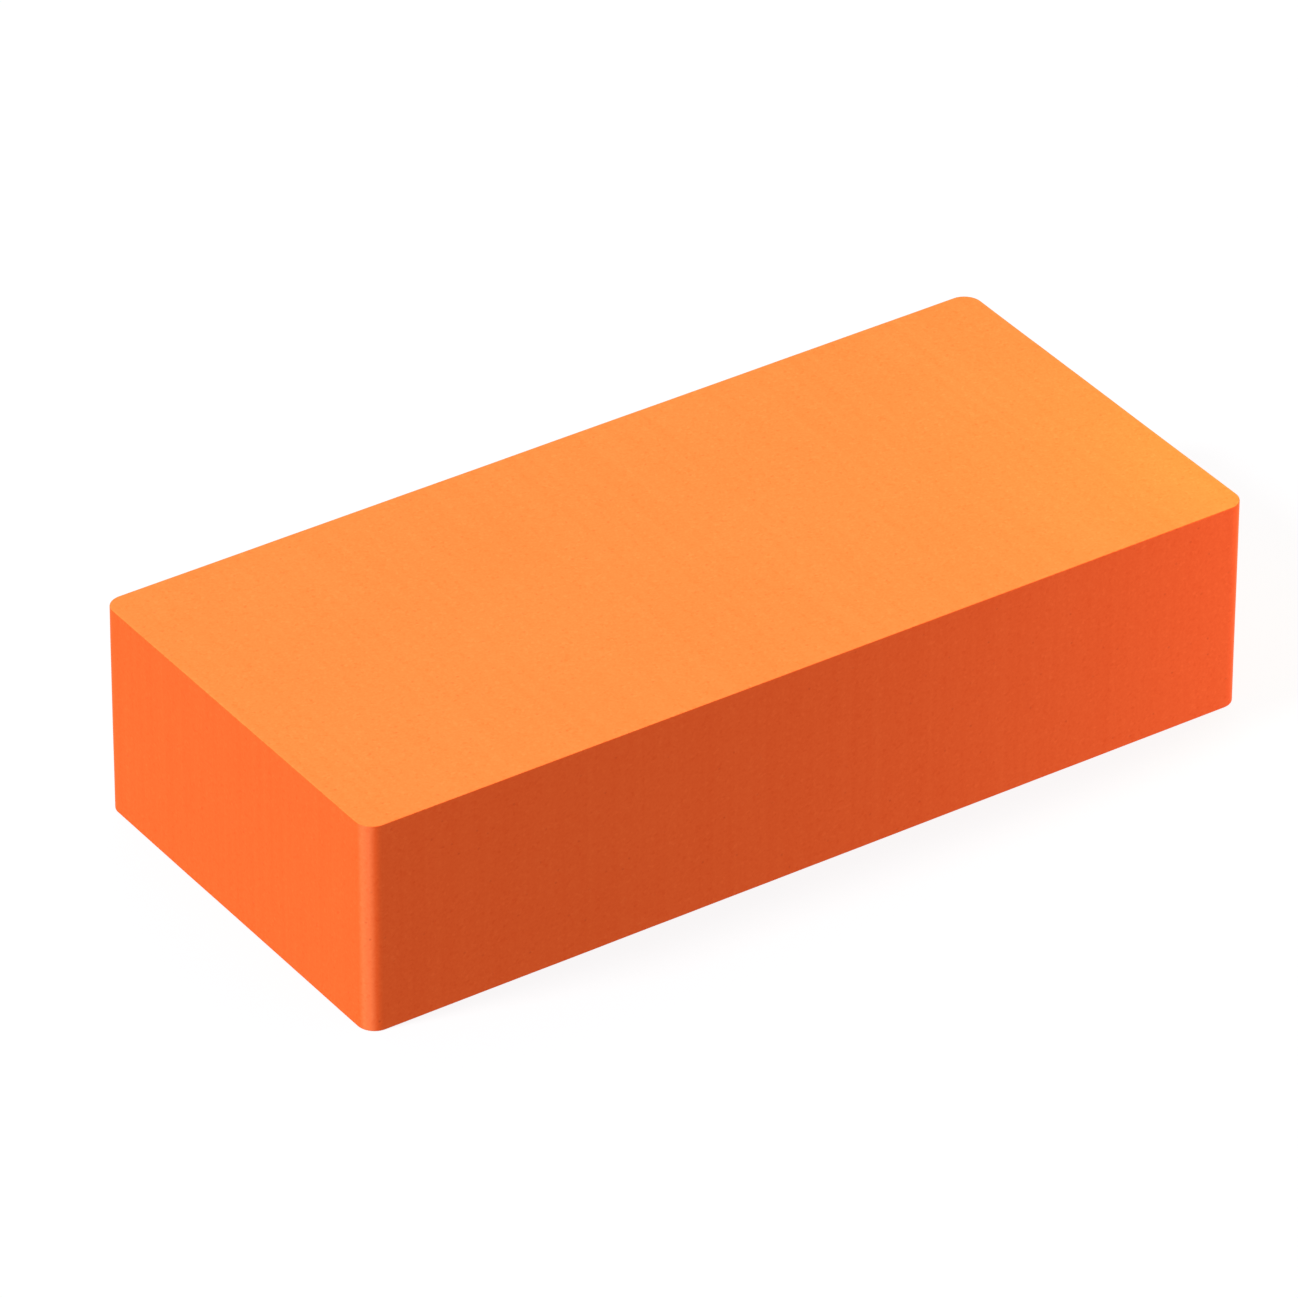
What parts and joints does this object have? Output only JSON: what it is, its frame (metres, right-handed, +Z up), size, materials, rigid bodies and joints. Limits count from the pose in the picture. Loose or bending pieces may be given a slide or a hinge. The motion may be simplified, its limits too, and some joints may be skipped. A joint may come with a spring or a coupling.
{
  "type": "clay brick",
  "caption": "Solid rectangular fired-clay brick with rounded upright corners and crisp wire-cut bed edges, laid flat in mortar to build walls, piers and paving.",
  "frame": {"origin": "middle of the lower bed face, which is the face that the brick lies on", "axes": "+X along the brick's length, +Y along its width from the front stretcher face to the back one, +Z up from the lower bed face to the upper one"},
  "size_m": [0.24, 0.11, 0.055],
  "materials": {
    "fired_clay": "matte"
  },
  "bodies": {
    "root": {"brick": "fired_clay"}
  },
  "joints": []
}
